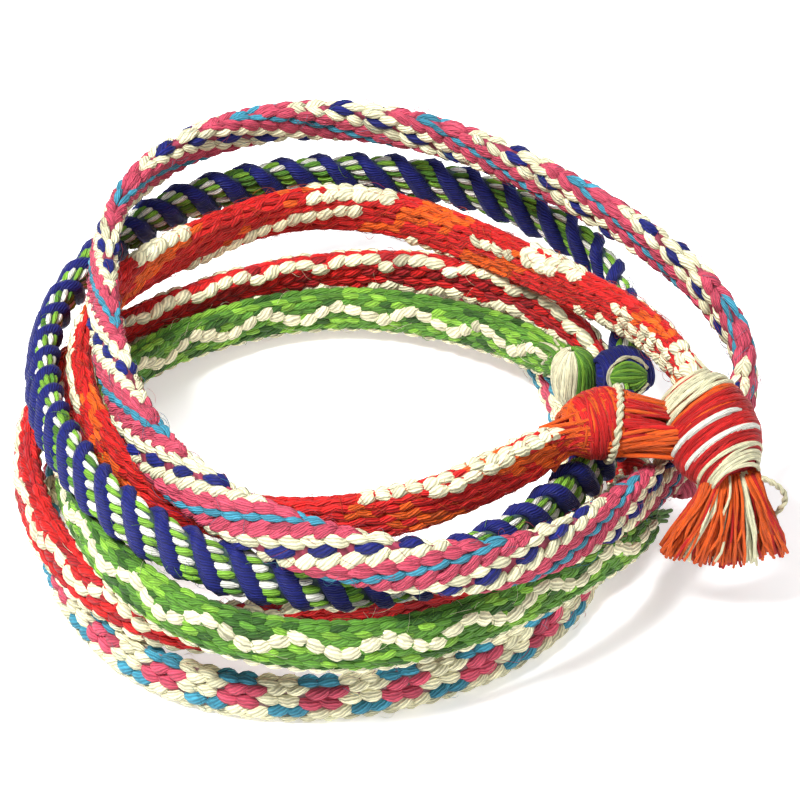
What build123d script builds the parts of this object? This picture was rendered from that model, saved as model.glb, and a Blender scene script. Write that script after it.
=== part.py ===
from build123d import *
import math
import os

# A pile of six flat braided friendship bracelets, lying on a table.
# Millimetres, +Z up, the table at Z 0, the origin under the middle of the pile.
# Every bracelet is one flat braid laid round as a loop, with its knots and loose ends at the right (+X).
# The routes below are the middle of each braid, from its first end round the back and the left
# to its front end. They keep the braids clear of each other wherever one crosses over another.

BAND_WIDTH = 5.0
BAND_THICKNESS = 2.2
BAND_CHAMFER = 0.6
REST_Z = BAND_WIDTH / 2

# Running gap between a knot and a thread wound round it.
THREAD_GAP = 0.25

DIAMOND_ROUTE = [
    (17.5, 2.5, REST_Z), (16, 12, REST_Z), (12.5, 21, REST_Z), (5, 27.5, REST_Z), (-5, 29.5, REST_Z),
    (-16, 27.5, REST_Z), (-25.5, 21.5, REST_Z), (-31, 12, REST_Z), (-33.5, 1, REST_Z),
    (-33.5, -10, REST_Z), (-29.5, -20, REST_Z), (-22, -27.5, REST_Z), (-11.5, -30.5, REST_Z),
    (-0.5, -29.5, REST_Z), (10, -25, REST_Z), (17.5, -17.5, REST_Z), (19.5, -8.5, REST_Z),
    (18.5, -3.5, REST_Z),
]
RED_ROUTE = [
    (23, 3.1, 2.8), (22, 10.5, 3.6), (17, 17.5, 7.7), (7.5, 23, 8), (-3, 26, 6.5), (-14, 24.5, 6),
    (-23.5, 19, 6.5), (-32, 10.5, 8.5), (-36, 0, 8.5), (-34.5, -11.5, 8), (-28.5, -21.5, 8),
    (-19.5, -26.5, 7.5), (-8, -25.5, 8), (3.5, -22.5, 7.5), (14.5, -18, 7.7), (21.5, -11, 7.8),
    (22.6, -3.4, 3.1),
]
GREEN_ROUTE = [
    (16.2, 9.6, 8.6), (13, 13.5, 7.5), (6.5, 19.5, 5), (-3.5, 23, 4), (-14, 21.5, 4), (-23.5, 15.5, 5),
    (-29, 7, 7), (-31.5, -3.5, 9.5), (-30.5, -14, 13.2), (-26, -24, 13.5), (-18, -31, 13),
    (-7, -33, 12), (3.5, -30.5, 11), (13, -24.5, 10.5), (20.7, -17.7, 9.7), (24.2, -11.6, 7),
]
NAVY_ROUTE = [
    (22.4, 9.6, 9.2), (23.5, 14.5, 9), (21, 23, 10.5), (12, 30, 12), (1, 33, 13), (-10.5, 32.5, 13),
    (-21, 28.5, 13.5), (-29, 21, 13.5), (-34, 10.5, 13.5), (-34, -1, 15), (-31.5, -12, 18.2),
    (-26, -22, 19.2), (-17, -28, 17.5), (-6, -29, 16), (4.5, -25, 14), (13, -18, 13), (18.5, -9.5, 12.4),
    (21.5, -2.5, 9.6), (22, 3.2, 9.6),
]
ORANGE_ROUTE = [
    (28.2, -3.2, 17.6), (27, 1.5, 17), (23, 7.5, 16.5), (15.5, 15.5, 14.5), (7.5, 23, 13), (-1, 28.5, 12),
    (-11, 29, 12), (-20.5, 23.5, 12), (-28, 15, 13.5), (-31, 4.5, 14.5), (-29.5, -6, 15.5),
    (-24, -15, 15.5), (-14.5, -20, 15.5), (-3.5, -20.5, 16), (7, -18.5, 18), (15.5, -11.8, 17.9),
]
PINK_ROUTE = [
    (30.9, -2.5, 9), (35, 1, 13), (31.5, 8, 18.5), (22, 16, 21.5), (12.5, 24, 21.5), (2.5, 30.5, 21),
    (-9.5, 32.5, 21), (-21, 29, 20.5), (-28, 20, 20), (-28.5, 7.5, 20), (-26.5, -5.5, 21),
    (-22.5, -17.5, 22), (-15, -26.5, 22.5), (-4, -31, 21.5), (7.5, -29.5, 18.5), (16.5, -23, 16),
    (23, -14.5, 13.4), (26.5, -7.6, 10.3),
]

# How far each braid's upper edge leans in towards the middle of the loop, in degrees.
DIAMOND_LEAN = 0
RED_LEAN = 8
GREEN_LEAN = 0
NAVY_LEAN = 10
ORANGE_LEAN = 8
PINK_LEAN = 10

# Knots are barrels: half length, radius at the waist, radius at the ends.
SMALL_KNOT_HALF = 2.6
SMALL_KNOT_WAIST = 2.1
SMALL_KNOT_END = 1.2
GREEN_KNOT_HALF = 3.0
GREEN_KNOT_END = 1.4
NAVY_KNOT_HALF = 2.7
NAVY_KNOT_WAIST = 2.2
LUMP_HALF = 3.8
LUMP_WAIST = 3.2
LUMP_END = 1.5
BIG_KNOT_HALF = 5.2
BIG_KNOT_WAIST = 4.4
BIG_KNOT_END = 2.3

# Each knot: middle, half length, waist, end, and the way the knot points.
SMALL_KNOT = (SMALL_KNOT_HALF, SMALL_KNOT_WAIST, SMALL_KNOT_END)
DIAMOND_KNOT = ((18.0, -0.5, 2.6), *SMALL_KNOT, (0.2, -1, 0))
RED_KNOT = ((22.8, 0, 2.6), *SMALL_KNOT, (0, -1, 0))
PINK_KNOT = ((28.6, -4.6, 7.3), *SMALL_KNOT, (0.7, 0.7, 0.2))
GREEN_KNOT = ((17.6, 6.9, 8.9), GREEN_KNOT_HALF, SMALL_KNOT_WAIST, GREEN_KNOT_END, (0.1, -0.2, -1))
NAVY_KNOT = ((22.2, 6.5, 9.9), NAVY_KNOT_HALF, NAVY_KNOT_WAIST, GREEN_KNOT_END, (-0.1, 0.3, -1))
LUMP_KNOT = ((19.6, -9.4, 18.1), LUMP_HALF, LUMP_WAIST, LUMP_END, (1, 0.2, 0))
BIG_KNOT = ((29.7, -9.3, 17.0), BIG_KNOT_HALF, BIG_KNOT_WAIST, BIG_KNOT_END, (0.41, -0.86, -0.3))

# Threads wound round the knots.
THICK_THREAD = 1.0
WRAP_THREAD = 0.8
FINE_THREAD = 0.7
NAVY_THREAD = 0.5
COLLAR_THREAD = 1.1

# Tassel: a flat fan of cut threads that hangs forward from the foot of the large knot.
TASSEL_DROP = 2.0
TASSEL_FORWARD = 1.4
TASSEL_TILT = 19
TASSEL_SWING = -0.9
TASSEL_LENGTH = 7.6
TASSEL_TOP_WIDTH = 4.6
TASSEL_FOOT_WIDTH = 13.0
TASSEL_THICKNESS = 3.0

# A bight of thread that stands out at the right of the tassel: start, furthest point and end.
LOOP_START = (34.8, 15.3)
LOOP_REACH = (37.0, 12.8)
LOOP_END = (35.6, 10.3)
LOOP_Y = -13.9

# Loose threads past the front end of the green braid.
FRINGE_ROOT = (23.8, -10.5, 6.9)
FRINGE_TIP = (25.6, -6.3, 3.7)
FRINGE_ROOT_RADIUS = 0.9
FRINGE_TIP_RADIUS = 1.6


def fillet_radii(points):
    """Radius of each tangent arc: 0.45 of the shorter run, over the tangent of half the turn."""
    radii = []
    for before, here, after in zip(points, points[1:], points[2:]):
        run_in = Vector(*here) - Vector(*before)
        run_out = Vector(*after) - Vector(*here)
        half_turn = math.radians(run_in.get_angle(run_out) / 2)
        radii.append(0.45 * min(run_in.length, run_out.length) / math.tan(half_turn))
    return radii


def lay_braid(route, lean):
    """Sweep the flat, chamfered section of a braid along a route of runs and tangent arcs."""
    with BuildLine() as middle:
        FilletPolyline(*route, radius=fillet_radii(route))
    along = (Vector(*route[1]) - Vector(*route[0])).normalized()
    upright = (Vector(0, 0, 1) - along * along.Z).normalized()
    outward = along.cross(upright)
    across = upright * math.cos(math.radians(lean)) - outward * math.sin(math.radians(lean))
    with BuildSketch(Plane(origin=route[0], x_dir=across, z_dir=along)) as section:
        Rectangle(BAND_WIDTH, BAND_THICKNESS)
        chamfer(section.vertices(), BAND_CHAMFER)
    sweep(section.sketch, path=middle.wires()[0])
    length = middle.wires()[0].length
    print(f"length {length:.0f} mm, tightest bend {min(fillet_radii(route)):.1f} mm")


def plane_of(knot):
    """Plane through the middle of a knot, its normal along the knot."""
    return Plane(origin=knot[0], z_dir=knot[4])


def tie_knot(knot):
    """A barrel of revolution: waist and ends joined by one arc."""
    half, waist, end = knot[1:4]
    with BuildSketch(Plane(origin=knot[0], x_dir=plane_of(knot).x_dir, z_dir=plane_of(knot).y_dir)) as side:
        with BuildLine():
            ThreePointArc((end, -half), (waist, 0), (end, half))
            Polyline((end, half), (0, half), (0, -half), (end, -half))
        make_face()
    revolve(side.sketch, axis=Axis(knot[0], knot[4]))


def barrel_radius(knot, along):
    """Radius of a knot's barrel at a distance along it."""
    half, waist, end = knot[1:4]
    rise = waist - end
    bulge = (half * half + rise * rise) / (2 * rise)
    return waist - bulge + math.sqrt(bulge * bulge - along * along)


def wind_thread(knot, along, thread):
    """One turn of thread round a knot, a little clear of it."""
    place = plane_of(knot).offset(along)
    with BuildSketch(Plane(origin=place.origin, x_dir=place.x_dir, z_dir=place.y_dir)) as turn:
        with Locations((barrel_radius(knot, along) + THREAD_GAP + thread / 2, 0)):
            RegularPolygon(thread / 2, 8)
    revolve(turn.sketch, axis=Axis(place.origin, place.z_dir))


def fray(root, tip, root_radius, tip_radius):
    """Loose threads as one frustum, wider at the cut ends."""
    way = Vector(*tip) - Vector(*root)
    with BuildSketch(Plane(origin=root, z_dir=way)) as start:
        RegularPolygon(root_radius, 8)
    flare = math.degrees(math.atan((tip_radius - root_radius) / way.length))
    extrude(start.sketch, amount=way.length, taper=-flare)


os.makedirs("parts", exist_ok=True)

# ---- the cyan, pink and cream bracelet with diamonds, lowest, flat on the table ----

with BuildPart() as diamond_band:
    lay_braid(DIAMOND_ROUTE, DIAMOND_LEAN)

with BuildPart() as diamond_knot:
    tie_knot(DIAMOND_KNOT)

# ---- the red bracelet with cream scalloped edges ----

with BuildPart() as red_band:
    lay_braid(RED_ROUTE, RED_LEAN)

with BuildPart() as red_knot:
    tie_knot(RED_KNOT)

GREEN_PARTING = Plane(origin=GREEN_KNOT[0], z_dir=(1, 0.2, 0))

# ---- the green bracelet, with a wrapped knot at one end and loose threads at the other ----

with BuildPart() as green_band:
    lay_braid(GREEN_ROUTE, GREEN_LEAN)

with BuildPart() as green_knot:
    tie_knot(GREEN_KNOT)
    split(bisect_by=GREEN_PARTING, keep=Keep.TOP)

with BuildPart() as green_wrap:
    tie_knot(GREEN_KNOT)
    split(bisect_by=GREEN_PARTING, keep=Keep.BOTTOM)

with BuildPart() as green_fringe:
    fray(FRINGE_ROOT, FRINGE_TIP, FRINGE_ROOT_RADIUS, FRINGE_TIP_RADIUS)

# ---- the navy bracelet with slanting bars ----

with BuildPart() as navy_band:
    lay_braid(NAVY_ROUTE, NAVY_LEAN)

with BuildPart() as navy_knot:
    tie_knot(NAVY_KNOT)

with BuildPart() as navy_thread:
    wind_thread(NAVY_KNOT, NAVY_THREAD - NAVY_KNOT_HALF, NAVY_THREAD)

# ---- the orange and red bracelet, with the large whipped knot and the tassel ----

with BuildPart() as orange_band:
    lay_braid(ORANGE_ROUTE, ORANGE_LEAN)

with BuildPart() as orange_lump:
    tie_knot(LUMP_KNOT)

with BuildPart() as lump_thread:
    wind_thread(LUMP_KNOT, 0.9, FINE_THREAD)

with BuildPart() as orange_knot:
    tie_knot(BIG_KNOT)

with BuildPart() as top_wrap_1:
    wind_thread(BIG_KNOT, -0.73 * BIG_KNOT_HALF, THICK_THREAD)

with BuildPart() as top_wrap_2:
    wind_thread(BIG_KNOT, -0.53 * BIG_KNOT_HALF, WRAP_THREAD)

with BuildPart() as fine_arc_1:
    wind_thread(BIG_KNOT, 0.16 * BIG_KNOT_HALF, FINE_THREAD)

with BuildPart() as fine_arc_2:
    wind_thread(BIG_KNOT, 0.5 * BIG_KNOT_HALF, FINE_THREAD)

with BuildPart() as collar:
    wind_thread(BIG_KNOT, BIG_KNOT_HALF - COLLAR_THREAD / 2, COLLAR_THREAD)

big_foot = Vector(*BIG_KNOT[0]) + Vector(*BIG_KNOT[4]).normalized() * BIG_KNOT_HALF

tassel_top = big_foot + Vector(0, -TASSEL_FORWARD, -TASSEL_DROP)
tassel_plane = Plane(origin=tassel_top, x_dir=(1, 0, 0), z_dir=(0, -1, 0)).rotated((-TASSEL_TILT, 0, 0))

with BuildPart() as tassel:
    with BuildSketch(tassel_plane):
        with BuildLine():
            Polyline(
                (-TASSEL_TOP_WIDTH / 2, 0),
                (TASSEL_TOP_WIDTH / 2, 0),
                (TASSEL_SWING + TASSEL_FOOT_WIDTH / 2, -TASSEL_LENGTH),
                (TASSEL_SWING - TASSEL_FOOT_WIDTH / 2, -TASSEL_LENGTH),
                close=True,
            )
        make_face()
    extrude(amount=TASSEL_THICKNESS / 2, both=True)
    front_and_back = tassel.faces().sort_by(Axis(tassel_plane.origin, tassel_plane.z_dir))
    chamfer(front_and_back[0].edges() + front_and_back[-1].edges(), 0.5)

with BuildPart() as thread_loop:
    with BuildLine(Plane.XZ.offset(-LOOP_Y)) as bight:
        ThreePointArc(LOOP_START, LOOP_REACH, LOOP_END)
    with BuildSketch(Plane(origin=bight.line @ 0, z_dir=bight.line % 0)):
        RegularPolygon(FINE_THREAD / 2, 8)
    sweep(path=bight.line)

# ---- the pink bracelet with the navy and cream chain, on top ----

with BuildPart() as pink_band:
    lay_braid(PINK_ROUTE, PINK_LEAN)

with BuildPart() as pink_knot:
    tie_knot(PINK_KNOT)

PIECES = {
    "diamond_band": diamond_band, "diamond_knot": diamond_knot,
    "red_band": red_band, "red_knot": red_knot,
    "green_band": green_band, "green_knot": green_knot, "green_wrap": green_wrap,
    "green_fringe": green_fringe,
    "navy_band": navy_band, "navy_knot": navy_knot, "navy_thread": navy_thread,
    "orange_band": orange_band, "orange_lump": orange_lump, "lump_thread": lump_thread,
    "orange_knot": orange_knot, "top_wrap_1": top_wrap_1, "top_wrap_2": top_wrap_2,
    "fine_arc_1": fine_arc_1, "fine_arc_2": fine_arc_2, "collar": collar,
    "tassel": tassel, "thread_loop": thread_loop,
    "pink_band": pink_band, "pink_knot": pink_knot,
}
for name, piece in PIECES.items():
    piece.part.label = name
    export_step(piece.part, f"parts/{name}.step")
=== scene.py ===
"""Looks of a pile of six flat braided friendship bracelets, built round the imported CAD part.

Every bracelet follows its own route, given in millimetres as in the part's source. A braid is a lattice of
plump stitches on a flat, round-edged section. A stitch is drawn in the braid's unrolled surface: s along
the braid, c round its section and h above its surface. Braid.place takes them in metres, and the plans of
the stitches give them in millimetres.
"""

import math

import bpy
import numpy as np
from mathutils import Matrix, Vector


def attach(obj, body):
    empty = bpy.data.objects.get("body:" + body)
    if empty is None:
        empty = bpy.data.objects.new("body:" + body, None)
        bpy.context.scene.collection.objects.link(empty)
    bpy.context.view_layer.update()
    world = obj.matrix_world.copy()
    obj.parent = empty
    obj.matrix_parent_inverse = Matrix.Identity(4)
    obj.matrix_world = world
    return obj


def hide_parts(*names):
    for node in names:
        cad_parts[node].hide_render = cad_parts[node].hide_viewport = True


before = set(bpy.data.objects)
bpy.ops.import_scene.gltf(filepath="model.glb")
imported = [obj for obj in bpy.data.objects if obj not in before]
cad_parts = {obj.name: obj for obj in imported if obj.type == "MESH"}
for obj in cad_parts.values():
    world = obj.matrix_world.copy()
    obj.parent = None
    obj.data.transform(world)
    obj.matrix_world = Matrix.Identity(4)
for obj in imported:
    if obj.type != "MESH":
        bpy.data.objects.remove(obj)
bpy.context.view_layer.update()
MM = 0.001
DICE = np.random.default_rng(11)

# ---- camera: the photograph's angle, 43 degrees down, from the front ----

TARGET = np.array((0.5, 2.5, 10.0)) * MM
CAMERA_DISTANCE = 0.45
CAMERA_ELEVATION = 43
IMAGE_SIZE = 800
FOCAL_PIXELS = 4635
SENSOR = 36

# ---- braid section and routes, as in the part's source ----

WIDTH = 5.0 * MM
THICKNESS = 2.2 * MM
FLAT = WIDTH - THICKNESS
EDGE_ARC = math.pi * THICKNESS / 2
GIRTH = 2 * FLAT + 2 * EDGE_ARC
REST_Z = 2.5

# A braid is narrower towards its ends: the share of its width past the end and from END_RUN inwards.
END_SHARE = 0.62
END_RUN = (-1 * MM, 3.5 * MM)
# Below this height above the table a yarn flattens instead of sinking into it.
SOFT_HEIGHT = 0.5 * MM

ROUTES = {
    "diamond": [
        (17.5, 2.5, REST_Z), (16, 12, REST_Z), (12.5, 21, REST_Z), (5, 27.5, REST_Z), (-5, 29.5, REST_Z),
        (-16, 27.5, REST_Z), (-25.5, 21.5, REST_Z), (-31, 12, REST_Z), (-33.5, 1, REST_Z),
        (-33.5, -10, REST_Z), (-29.5, -20, REST_Z), (-22, -27.5, REST_Z), (-11.5, -30.5, REST_Z),
        (-0.5, -29.5, REST_Z), (10, -25, REST_Z), (17.5, -17.5, REST_Z), (19.5, -8.5, REST_Z),
        (18.5, -3.5, REST_Z),
    ],
    "red": [
        (23, 3.1, 2.8), (22, 10.5, 3.6), (17, 17.5, 7.7), (7.5, 23, 8), (-3, 26, 6.5), (-14, 24.5, 6),
        (-23.5, 19, 6.5), (-32, 10.5, 8.5), (-36, 0, 8.5), (-34.5, -11.5, 8), (-28.5, -21.5, 8),
        (-19.5, -26.5, 7.5), (-8, -25.5, 8), (3.5, -22.5, 7.5), (14.5, -18, 7.7), (21.5, -11, 7.8),
        (22.6, -3.4, 3.1),
    ],
    "green": [
        (16.2, 9.6, 8.6), (13, 13.5, 7.5), (6.5, 19.5, 5), (-3.5, 23, 4), (-14, 21.5, 4), (-23.5, 15.5, 5),
        (-29, 7, 7), (-31.5, -3.5, 9.5), (-30.5, -14, 13.2), (-26, -24, 13.5), (-18, -31, 13),
        (-7, -33, 12), (3.5, -30.5, 11), (13, -24.5, 10.5), (20.7, -17.7, 9.7), (24.2, -11.6, 7),
    ],
    "navy": [
        (22.4, 9.6, 9.2), (23.5, 14.5, 9), (21, 23, 10.5), (12, 30, 12), (1, 33, 13), (-10.5, 32.5, 13),
        (-21, 28.5, 13.5), (-29, 21, 13.5), (-34, 10.5, 13.5), (-34, -1, 15), (-31.5, -12, 18.2),
        (-26, -22, 19.2), (-17, -28, 17.5), (-6, -29, 16), (4.5, -25, 14), (13, -18, 13),
        (18.5, -9.5, 12.4), (21.5, -2.5, 9.6), (22, 3.2, 9.6),
    ],
    "orange": [
        (28.2, -3.2, 17.6), (27, 1.5, 17), (23, 7.5, 16.5), (15.5, 15.5, 14.5), (7.5, 23, 13),
        (-1, 28.5, 12), (-11, 29, 12), (-20.5, 23.5, 12), (-28, 15, 13.5), (-31, 4.5, 14.5),
        (-29.5, -6, 15.5), (-24, -15, 15.5), (-14.5, -20, 15.5), (-3.5, -20.5, 16), (7, -18.5, 18),
        (15.5, -11.8, 17.9),
    ],
    "pink": [
        (30.9, -2.5, 9), (35, 1, 13), (31.5, 8, 18.5), (22, 16, 21.5), (12.5, 24, 21.5), (2.5, 30.5, 21),
        (-9.5, 32.5, 21), (-21, 29, 20.5), (-28, 20, 20), (-28.5, 7.5, 20), (-26.5, -5.5, 21),
        (-22.5, -17.5, 22), (-15, -26.5, 22.5), (-4, -31, 21.5), (7.5, -29.5, 18.5), (16.5, -23, 16),
        (23, -14.5, 13.4), (26.5, -7.6, 10.3),
    ],
}

# Lean of each braid's upper edge in towards the middle of the loop, in degrees:
# at the first end, the back, the left, the front and the front end.
LEANS = {
    "diamond": (0, 2, 8, 10, 4),
    "red": (4, 6, 12, 12, 6),
    "green": (0, 2, 12, 12, 4),
    "navy": (6, 6, 16, 16, 8),
    "orange": (6, 8, 14, 12, 8),
    "pink": (8, 8, 20, 18, 10),
}

# How wide each braid lies against its nominal width, at the same five places.
SPREADS = {
    "diamond": (1, 1, 1, 1, 1),
    "red": (1, 1, 1.05, 1, 1),
    "green": (1, 1, 1, 1.03, 1),
    "navy": (1, 1, 1, 1.05, 1),
    "orange": (1, 1.2, 1.2, 1.05, 1),
    "pink": (1, 1, 1.05, 1.18, 0.92),
}

# ---- yarn colours ----

NAVY = (0.005, 0.009, 0.140)
PINK = (0.58, 0.068, 0.120)
CYAN = (0.046, 0.27, 0.39)
CREAM = (0.83, 0.79, 0.52)
LIME = (0.21, 0.45, 0.040)
GREEN = (0.090, 0.250, 0.024)
DEEP_GREEN = (0.034, 0.115, 0.012)
RED = (0.60, 0.010, 0.009)
ORANGE = (0.80, 0.105, 0.006)
CRIMSON = (0.40, 0.010, 0.014)
WHITE = (0.86, 0.86, 0.76)


# ---- curves, frames and meshes ----


def smooth_points(name, route):
    """Points of a smooth NURBS line whose control points are the route's, in metres."""
    data = bpy.data.curves.new(name, "CURVE")
    data.dimensions = "3D"
    data.resolution_u = 16
    spline = data.splines.new("NURBS")
    spline.points.add(len(route) - 1)
    for point, place in zip(spline.points, route):
        point.co = (*(np.array(place) * MM), 1)
    spline.order_u = 3
    spline.use_endpoint_u = True
    holder = bpy.data.objects.new(name, data)
    bpy.context.scene.collection.objects.link(holder)
    mesh = bpy.data.meshes.new_from_object(holder)
    points = np.array([v.co for v in mesh.vertices], float)
    bpy.data.objects.remove(holder)
    bpy.data.curves.remove(data)
    bpy.data.meshes.remove(mesh)
    return points


def unit(vectors):
    """The same vectors with length one."""
    return vectors / np.maximum(np.linalg.norm(vectors, axis=-1, keepdims=True), 1e-12)


def lengths_along(points):
    """Distance along a line at each of its points."""
    return np.concatenate(([0], np.cumsum(np.linalg.norm(np.diff(points, axis=0), axis=1))))


def even_points(points, step):
    """The line's points again, evenly spaced by about one step."""
    at = lengths_along(points)
    wanted = np.linspace(0, at[-1], max(2, round(at[-1] / step) + 1))
    return np.stack([np.interp(wanted, at, points[:, k]) for k in range(3)], 1)


class Braid:
    """A braid's middle line and the frame along it: across is up the width, out is the outer face."""

    def __init__(self, name):
        self.points = even_points(smooth_points(name, ROUTES[name]), 0.25 * MM)
        self.at = lengths_along(self.points)
        self.length = self.at[-1]
        along = unit(np.gradient(self.points, axis=0))
        upright = unit(np.array((0.0, 0.0, 1.0)) - along * along[:, 2:3])
        out = np.cross(along, upright)
        stations = np.linspace(0, self.length, len(LEANS[name]))
        lean = np.radians(np.interp(self.at, stations, LEANS[name]))[:, None]
        self.across = upright * np.cos(lean) - out * np.sin(lean)
        self.out = np.cross(along, self.across)
        self.along = along
        self.spread = np.interp(self.at, stations, SPREADS[name])

    def place(self, s, c, h):
        """Points in the part's frame for distances s along, c round the section and h above its surface.
        Past an end the line goes on straight. The width narrows over the last millimetres, and a height z
        under SOFT_HEIGHT becomes SOFT_HEIGHT times e to the power (z / SOFT_HEIGHT - 1)."""
        v, d, normal_v, normal_d = section(c)
        near_end = np.minimum(s, self.length - s)
        narrow = np.interp(near_end, END_RUN, (END_SHARE, 1.0))
        v = (v + normal_v * h) * narrow * np.interp(s, self.at, self.spread)
        d = d + normal_d * h
        inside = np.clip(s, 0, self.length)
        middle, across, out, along = (
            np.stack([np.interp(inside, self.at, rows[:, k]) for k in range(3)], -1)
            for rows in (self.points, self.across, self.out, self.along)
        )
        placed = middle + across * v[..., None] + out * d[..., None] + along * (s - inside)[..., None]
        low = placed[..., 2] < SOFT_HEIGHT
        placed[..., 2][low] = SOFT_HEIGHT * np.exp(placed[..., 2][low] / SOFT_HEIGHT - 1)
        return placed


def section(c):
    """Across and outward distance of a point c round the section, and the same parts of the direction that
    points away from it there. The section is two flats joined by half circles; c is 0 at the middle of the
    outer face and grows towards the upper edge."""
    c = np.mod(c, GIRTH)
    r = THICKNESS / 2
    top = (c - FLAT / 2) / r
    bottom = (c - FLAT * 1.5 - EDGE_ARC) / r
    pick = [c < FLAT / 2, c < FLAT / 2 + EDGE_ARC, c < FLAT * 1.5 + EDGE_ARC, c < FLAT * 1.5 + 2 * EDGE_ARC]
    upper, lower = FLAT / 2 + r * np.sin(top), -FLAT / 2 - r * np.sin(bottom)
    v = np.select(pick, [c, upper, FLAT + EDGE_ARC - c, lower], c - GIRTH)
    d = np.select(pick, [r, r * np.cos(top), -r, -r * np.cos(bottom)], r)
    normal_v = np.select(pick, [0, np.sin(top), 0, -np.sin(bottom)], 0)
    normal_d = np.select(pick, [1, np.cos(top), -1, -np.cos(bottom)], 1)
    return v, d, normal_v, normal_d


class Yarns:
    """Gathers closed yarns and makes one mesh of them, with a colour and a twist coordinate each."""

    def __init__(self):
        self.verts, self.quads, self.tris, self.colours = [], [], [], []
        self.quad_uvs, self.tri_uvs = [], []
        self.count = 0

    def add(self, rings, poles, colours, lengths, coil=0.0):
        """rings is (yarns, rings, sides, 3), poles (yarns, 2, 3), colours (yarns, 3), lengths (yarns).
        coil is extra turns of the strands for each millimetre."""
        n, r, m = rings.shape[:3]
        size = r * m + 2
        base = self.count + np.arange(n)[:, None, None] * size
        i, j = np.meshgrid(np.arange(r - 1), np.arange(m), indexing="ij")
        k = (j + 1) % m
        quad = np.stack([i * m + j, i * m + k, (i + 1) * m + k, (i + 1) * m + j], -1).reshape(-1, 4)
        quad_steps = np.stack([i, i, i + 1, i + 1], -1).reshape(-1, 4) / (r - 1)
        quad_turns = np.stack([j, j + 1, j + 1, j], -1).reshape(-1, 4) / m
        j = np.arange(m)
        k = (j + 1) % m
        first = np.stack([np.full(m, r * m), k, j], -1)
        last = np.stack([np.full(m, r * m + 1), (r - 1) * m + j, (r - 1) * m + k], -1)
        tri = np.concatenate([first, last])
        tri_steps = np.concatenate([np.zeros((m, 3)), np.ones((m, 3))])
        tri_turns = np.concatenate([np.stack([j + 0.5, j + 1, j], -1), np.stack([j + 0.5, j, j + 1], -1)]) / m
        self.quads.append((base + quad).reshape(-1, 4))
        self.tris.append((base + tri).reshape(-1, 3))
        self.verts.append(np.concatenate([rings.reshape(n, r * m, 3), poles], 1).reshape(-1, 3))
        shade = np.ones((n, size, 4))
        shade[..., :3] = np.asarray(colours)[:, None, :]
        self.colours.append(shade.reshape(-1, 4))
        start = DICE.random(n)[:, None, None]
        for steps, turns, uvs in ((quad_steps, quad_turns, self.quad_uvs),
                                  (tri_steps, tri_turns, self.tri_uvs)):
            reach = steps * lengths[:, None, None] / MM
            uv = np.stack(np.broadcast_arrays(reach, turns + start + coil * reach), -1)
            uvs.append(uv.reshape(-1, 2))
        self.count += n * size

    def mesh(self, name, material):
        """One smooth-shaded object of all the yarns so far."""
        quads, tris = np.concatenate(self.quads), np.concatenate(self.tris)
        data = bpy.data.meshes.new(name)
        data.from_pydata(np.concatenate(self.verts).tolist(), [], quads.tolist() + tris.tolist())
        uv = np.concatenate(self.quad_uvs + self.tri_uvs)
        data.uv_layers.new(name="Twist").data.foreach_set("uv", uv.astype(np.float32).ravel())
        shade = data.color_attributes.new("Yarn", "FLOAT_COLOR", "POINT")
        shade.data.foreach_set("color", np.concatenate(self.colours).astype(np.float32).ravel())
        data.polygons.foreach_set("use_smooth", np.ones(len(data.polygons), bool))
        data.materials.append(material)
        data.update()
        made = bpy.data.objects.new(name, data)
        bpy.context.scene.collection.objects.link(made)
        return made


SIDES = 8
TURN = np.arange(SIDES) * 2 * math.pi / SIDES
STITCH_RINGS = 5
CORE_DEPTH = 0.5


def vary(colours, spread=0.12):
    """The colours with a little lightness of their own for each yarn."""
    colours = np.asarray(colours, float)
    return np.clip(colours * (1 + DICE.normal(0, spread, (len(colours), 1))), 0, 1)


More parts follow.
